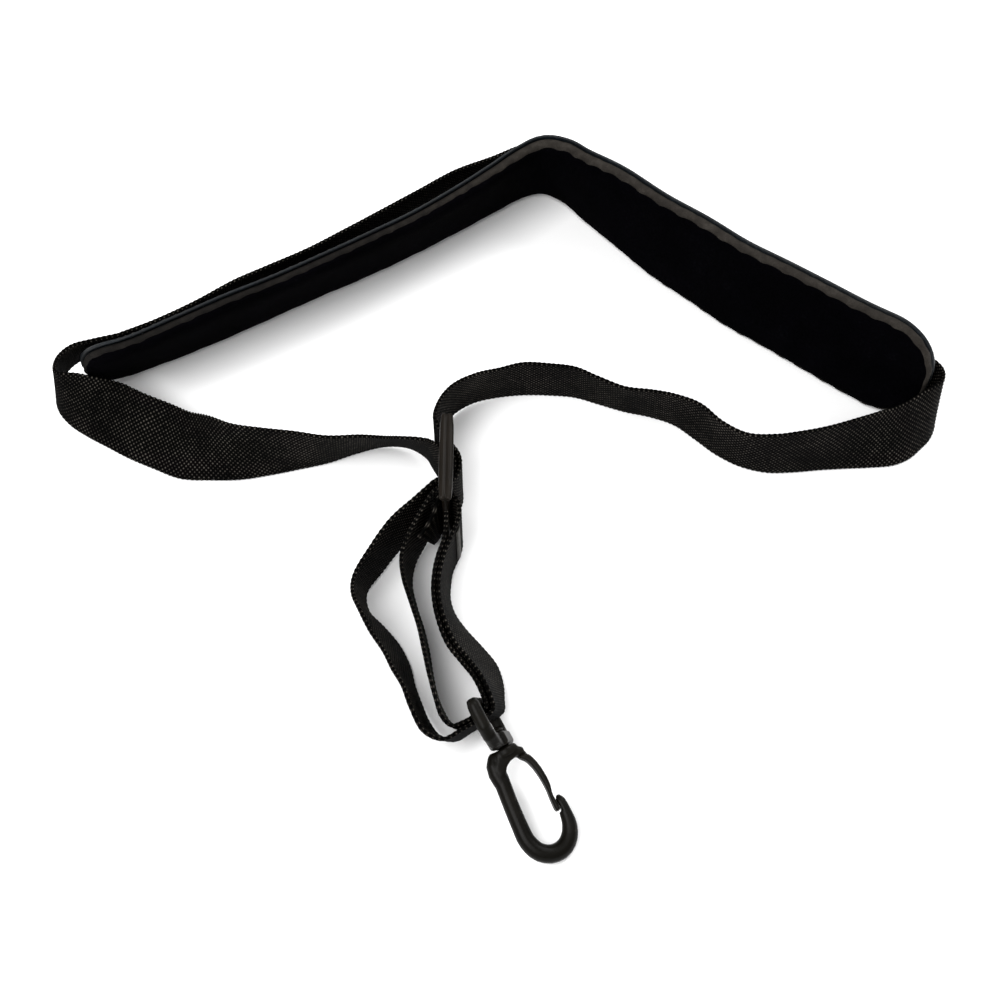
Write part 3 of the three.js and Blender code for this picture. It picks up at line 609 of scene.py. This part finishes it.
webbing_piece("pad_run_webbing", PAD_RUN, ["webbing_pad_run"], rides("neck_band"))
webbing_piece(
    "left_strap_webbing", LEFT_ROUTE + LEFT_WEAVE, ["left_webbing", "left_webbing_weave"],
    bends(),
)
webbing_piece(
    "right_strap_webbing", RIGHT_ROUTE + RIGHT_WEAVE, ["right_webbing", "right_webbing_weave"],
    bends(),
)
webbing_piece(
    "left_leg_webbing", LEFT_LEG, ["left_leg"],
    bends(),
)
webbing_piece(
    "right_leg_webbing", RIGHT_LEG, ["right_leg"],
    bends(),
)
webbing_piece(
    "return_outer_webbing", RETURN_OUTER + FOLD, ["return_leg_outer", "return_fold"],
    bends(),
)
webbing_piece(
    "return_inner_webbing", RETURN_INNER, ["return_leg_inner"],
    bends(),
)


# ---------------------------------------------------------------- neck pad

PAD = Ribbon(PAD_PATH, PAD_WIDTH)


def pad_lengths(inset, spacing):
    """Lengths along the pad, closing up towards its rounded ends."""
    radius = PAD_END_RADIUS - inset
    steps = 12
    near = [inset + radius * (1 - math.cos(math.pi / 2 * i / steps)) for i in range(steps)]
    count = int((PAD.length - 2 * PAD_END_RADIUS) / spacing)
    run = PAD.length - 2 * PAD_END_RADIUS
    middle = [PAD_END_RADIUS + run * i / count for i in range(count + 1)]
    return near + middle + [PAD.length - x for x in reversed(near)]


def pad_half_width(length, inset):
    """Half the pad's width at a length, less the inset and drawn in round its ends."""
    radius = PAD_END_RADIUS - inset
    distance = min(length, PAD.length - length) - inset
    reach = min(max(distance, 0.0), radius)
    return PAD_WIDTH / 2 - PAD_END_RADIUS + math.sqrt(radius**2 - (radius - reach) ** 2)


def pad_loft(name, inset, section, material, spacing=2.0):
    """Sweeps a section along the pad. A section point is a share of half the width and a depth."""
    vertices = []
    lengths = pad_lengths(inset, spacing)
    for length in lengths:
        half = pad_half_width(length, inset)
        for share, depth in section(length):
            vertices.append(PAD.at(length, PAD_WIDTH / 2 + half * share, depth))
    sides = len(section(0.0))
    return mesh_object(name, vertices, ring_faces(len(lengths), sides, False), material)


def lip_share(length):
    """How far the rolled lip stands out: full on the right wing, half hidden by the pile on the left."""
    t = min(max((length - 150.0) / 60.0, 0.0), 1.0)
    return 0.5 + 0.5 * t * t * (3 - 2 * t)


def plush_section(length):
    """Crowned plush face with its edges drawn down into the seam, closed behind by a flat foam back."""
    swell = math.sqrt(min(max(min(length, PAD.length - length) - 1.4, 0.0) / 8.0, 1.0))
    reach = 1.0 + 0.035 * (1 - lip_share(length)) * 2
    face = []
    columns = 22
    for k in range(columns + 1):
        share = 1 - 2 * k / columns
        crown = 1 - abs(share) ** 12
        ripple = 0.1 * math.sin(length * 0.35 + 2.2 * share) + 0.07 * math.sin(length * 0.81 - 3 * share)
        depth = PLUSH_EDGE_DEPTH - PLUSH_CROWN * crown * swell + ripple * crown
        face.append((share * (reach if k in (0, columns) else 1.0), max(depth, 0.12)))
    wall = [(-reach, 3.2), (-0.95, 5.2), (0.0, FOAM_BACK_DEPTH)]
    return face + wall + [(-share, depth) for share, depth in reversed(wall[:2])]


def cover_section(length):
    """Leathercloth back with a rounded, slightly wavy rim and a stitched-down channel near its edge."""
    wave = 0.08 * math.sin(length * 0.5) + 0.06 * math.sin(length * 1.27)
    outer = [
        (1.0, 6.4), (0.985, 6.85), (0.93, 7.0), (0.875, 6.75), (0.82, 7.05), (0.6, 7.1 + wave), (0.3, 7.12),
    ]
    back = outer + [(0.0, 7.1 - wave)] + [(-s, d) for s, d in reversed(outer)]
    return back + [(-0.99, 5.95), (-0.9, 5.8), (0.0, 5.8), (0.9, 5.8), (0.99, 5.95)]


def pad_ring(inset, spacing):
    """Points round the pad's outline: length, height and the outward direction, counted from its near end."""
    points = []
    radius = PAD_END_RADIUS - inset
    run = PAD.length - 2 * PAD_END_RADIUS
    count = int(run / spacing)
    arc_steps = max(int(radius * math.pi / 2 / spacing), 4)
    low, high = PAD_END_RADIUS, PAD_WIDTH - PAD_END_RADIUS
    near, far = PAD_END_RADIUS, PAD.length - PAD_END_RADIUS

    def arc(cx, cy, start):
        for i in range(arc_steps):
            angle = start + math.pi / 2 * (i + 0.5) / arc_steps
            dx, dy = math.cos(angle), math.sin(angle)
            points.append((cx + radius * dx, cy + radius * dy, dx, dy))

    arc(near, low, math.pi)
    points.extend((near + run * i / count, inset, 0.0, -1.0) for i in range(count + 1))
    arc(far, low, 1.5 * math.pi)
    arc(far, high, 0.0)
    points.extend((far - run * i / count, PAD_WIDTH - inset, 0.0, 1.0) for i in range(count + 1))
    arc(near, high, math.pi / 2)
    return points


def rolled_edge():
    """Binding rolled over the pad's rim, puckered by the stitches that hold it."""
    ring = pad_ring(EDGE_INSET, 1.0)
    sides = 14
    random.seed(5)
    phase = [random.uniform(-0.5, 0.5) for _ in ring]
    vertices = []
    for i, (length, height, dx, dy) in enumerate(ring):
        pucker = math.sin(i * 2 * math.pi / 6.2 + phase[i] * 0.9)
        lip = lip_share(length)
        out = (1.1 + 0.65 * lip) + 0.14 * pucker
        deep = (1.05 + 0.9 * lip) + 0.1 * math.sin(i * 2 * math.pi / 9.1)
        for k in range(sides):
            angle = 2 * math.pi * k / sides
            fold = 1 + 0.05 * math.sin(3 * angle + i * 0.7)
            reach = out * math.cos(angle) * fold
            depth = BINDING_DEPTH - deep + deep * math.sin(angle)
            vertices.append(PAD.at(length + dx * reach, height + dy * reach, depth))
    return mesh_object("pad_edge_binding", vertices, ring_faces(len(ring), sides, True), ROLLED)


def capsule_between(vertices, faces, start, end, normal, radius):
    """One stitch: a short arched run of thread between two needle holes."""
    sides, rings = 6, 6
    along = (end - start).normalized()
    side = along.cross(normal).normalized()
    base = len(vertices)
    for i in range(rings):
        t = i / (rings - 1)
        centre = start.lerp(end, t) + normal * (radius * 1.2 * math.sin(math.pi * t) - radius * 0.3)
        size = radius * (0.55 + 0.45 * math.sin(math.pi * t))
        for k in range(sides):
            angle = 2 * math.pi * k / sides
            vertices.append(centre + side * (size * math.cos(angle)) + normal * (size * math.sin(angle)))
    faces.extend(tuple(base + i for i in face) for face in ring_faces(rings, sides, False))


def perimeter_stitches():
    """A row of single stitches on the back, each a little shorter than its pitch."""
    ring = pad_ring(STITCH_INSET, STITCH_PITCH)
    begin, finish = 0.12, 0.88
    depth = PAD_THICK + 0.02
    shortest = 0.5
    vertices, faces = [], []
    for (l0, h0, _, _), (l1, h1, _, _) in zip(ring, ring[1:] + ring[:1]):
        start = PAD.at(l0 + (l1 - l0) * begin, h0 + (h1 - h0) * begin, depth)
        end = PAD.at(l0 + (l1 - l0) * finish, h0 + (h1 - h0) * finish, depth)
        _, normal = PAD.frame_at((l0 + l1) / 2, (h0 + h1) / 2)
        if (end - start).length > shortest:
            capsule_between(vertices, faces, start, end, normal, STITCH_THREAD)
    return mesh_object("pad_stitches", vertices, faces, THREAD)


plush = pad_loft("pad_plush_face", PLUSH_INSET, plush_section, PLUSH, 1.6)
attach(plush, "neck_band")
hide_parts("pad_velour_lining", "pad_foam_core")
cover = pad_loft("pad_cover_back", 0.0, cover_section, COVER)
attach(cover, "neck_band")
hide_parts("pad_outer_cover")
binding = rolled_edge()
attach(binding, "neck_band")
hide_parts("pad_rolled_edge")
stitches = perimeter_stitches()
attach(stitches, "neck_band")
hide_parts("pad_perimeter_stitching")


# ---------------------------------------------------------------- bartacks


def bartack(name, route, centre, side, node, motion):
    """Dense zigzag of thread across the webbing, held just above its weave."""
    ribbon = Ribbon(route, WEB_WIDTH)
    vertices, faces = [], []
    count = 26
    rise = side * (WEB_HALF + 0.12)
    width = WEB_WIDTH - 2 * TACK_MARGIN
    left, right = centre - TACK_HALF_LENGTH, centre + TACK_HALF_LENGTH
    for i in range(count):
        low = TACK_MARGIN + width * i / count
        high = TACK_MARGIN + width * (i + 0.5) / count
        there = ((left, low), (right, high))
        back = ((right, high), (left, low + (high - low) * 2))
        for (a, ha), (b, hb) in (there, back):
            _, normal = ribbon.frame_at(centre, ha)
            start, end = ribbon.at(a, ha, rise), ribbon.at(b, hb, rise)
            capsule_between(vertices, faces, start, end, normal * side, TACK_THREAD)
    piece = mesh_object(name, vertices, faces, THREAD)
    motion(piece)
    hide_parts(node)


pad_run_length = Ribbon(PAD_RUN, WEB_WIDTH).length
near_tack, far_tack = pad_run_length * 0.015, pad_run_length * 0.985
bartack("left_tack_stitches", PAD_RUN, near_tack, 1, "left_pad_bartack", rides("neck_band"))
bartack("right_tack_stitches", PAD_RUN, far_tack, 1, "right_pad_bartack", rides("neck_band"))
bartack("fold_tack_stitches", FOLD, 3.0, -1, "fold_bartack", rides("slider_unit"))


# ---------------------------------------------------------------- moulded fittings


def swivel_rod(stations):
    """Centres and radii of a rod from stations u, v, w and radius, measured from the swivel."""
    return [swivel_point(*station[:3]) for station in stations], [station[3] for station in stations]


def slider_ridge(x):
    """A rounded ridge along the slider's upper rail, tapering a little towards both ends."""
    stations = ((-16.6, 1.15), (-12.5, 1.4), (-5, 1.5), (5, 1.5), (12.5, 1.4), (16.6, 1.1))
    middle = SLIDER_CENTRE_DRAWN
    centres = [Vector((middle.x + x, y + middle.y, RIDGE_HEIGHT)) for y, _ in stations]
    return centres, [radius for _, radius in stations]


# The eye's near rail is thickened. The hook gets a fuller shoulder and a web at the gate's root.
EYE_FILLETS = [
    [(0.6, 0, RAIL_WIDTH, 2.1), (4, -0.2, RAIL_WIDTH, 2.25), (8, -0.3, RAIL_WIDTH - 0.2, 2.25),
     (11, -0.5, RAIL_WIDTH - 2.4, 2.3), (13, -0.6, RAIL_WIDTH - 5.4, 2.3),
     (13.6, -0.8, RAIL_WIDTH - 8.4, 2.3)],
]
HOOK_FILLETS = [
    [(17.6, -4.6, 0, 2.1), (19.4, -5.8, 0, 2.4), (22, -6.3, 0, 2.55), (25, -6.1, 0, 2.6)],
    [(19.4, 3.4, 0, 1.7), (20.6, 4.1, 0, 1.6), (21.6, 4.5, 0, 1.4)],
]
moulded(
    "slider_moulding", "slider", "slider_unit", SLIDER_PLASTIC, 0.3, 5,
    [slider_ridge(-RIDGE_OFFSET), slider_ridge(RIDGE_OFFSET)],
)
moulded(
    "eye_moulding", "swivel_eye", "eye", HOOK_PLASTIC, 0.3, 6,
    [swivel_rod(rod) for rod in EYE_FILLETS],
)
moulded(
    "hook_moulding", "hook_body", "hook", HOOK_PLASTIC, 0.32, 9,
    [swivel_rod(rod) for rod in HOOK_FILLETS],
)
moulded("gate_moulding", "hook_gate", "gate", HOOK_PLASTIC, 0.25, 4)


# ---------------------------------------------------------------- table, light and camera


def floor():
    """The plain pale table, 12 m across."""
    mesh = bpy.data.meshes.new("floor")
    size = 6.0
    corners = [(-size, -size, 0), (size, -size, 0), (size, size, 0), (-size, size, 0)]
    mesh.from_pydata(corners, [], [(0, 1, 2, 3)])
    piece = bpy.data.objects.new("floor", mesh)
    bpy.context.scene.collection.objects.link(piece)
    n = Nodes("floor_white")
    tone = n.noise(3.0, 2.0)
    colour = n.ramp(tone, [(0.3, (0.93, 0.93, 0.93)), (0.7, (0.96, 0.96, 0.96))])
    mesh.materials.append(n.finish(colour, n.bump(tone, 0.02, 0.001), 0.9, Specular_IOR_Level=0.0))


def area_light(name, location, target, size, power):
    """A square soft light facing its target; metres and watts."""
    data = bpy.data.lights.new(name, "AREA")
    data.size = size
    data.energy = power
    lamp = bpy.data.objects.new(name, data)
    lamp.location = location
    lamp.rotation_euler = (Vector(target) - Vector(location)).to_track_quat("-Z", "Y").to_euler()
    bpy.context.scene.collection.objects.link(lamp)


def camera():
    """Looks down from the front at the drawing's origin, which is near the part's middle."""
    data = bpy.data.cameras.new("camera")
    data.lens = 54.0
    data.sensor_width = 36.0
    data.clip_end = 20.0
    lens = bpy.data.objects.new("camera", data)
    elevation = math.radians(59)
    distance = 544.4
    lens.location = placed((0, -distance * math.cos(elevation), distance * math.sin(elevation)))
    lens.rotation_euler = (math.pi / 2 - elevation, 0, 0)
    bpy.context.scene.collection.objects.link(lens)
    bpy.context.scene.camera = lens


def world():
    """Even white studio light from all round."""
    sky = bpy.data.worlds.new("studio")
    sky.use_nodes = True
    background = sky.node_tree.nodes["Background"]
    background.inputs["Color"].default_value = (1, 1, 1, 1)
    background.inputs["Strength"].default_value = 0.55
    bpy.context.scene.world = sky


floor()
world()
area_light("key", (-0.45, -0.5, 1.2), (0, 0, 0), 0.8, 22)
area_light("fill", (0.6, 0.7, 1.1), (0, 0, 0), 0.8, 14)
camera()
bpy.context.scene.view_settings.view_transform = "Standard"
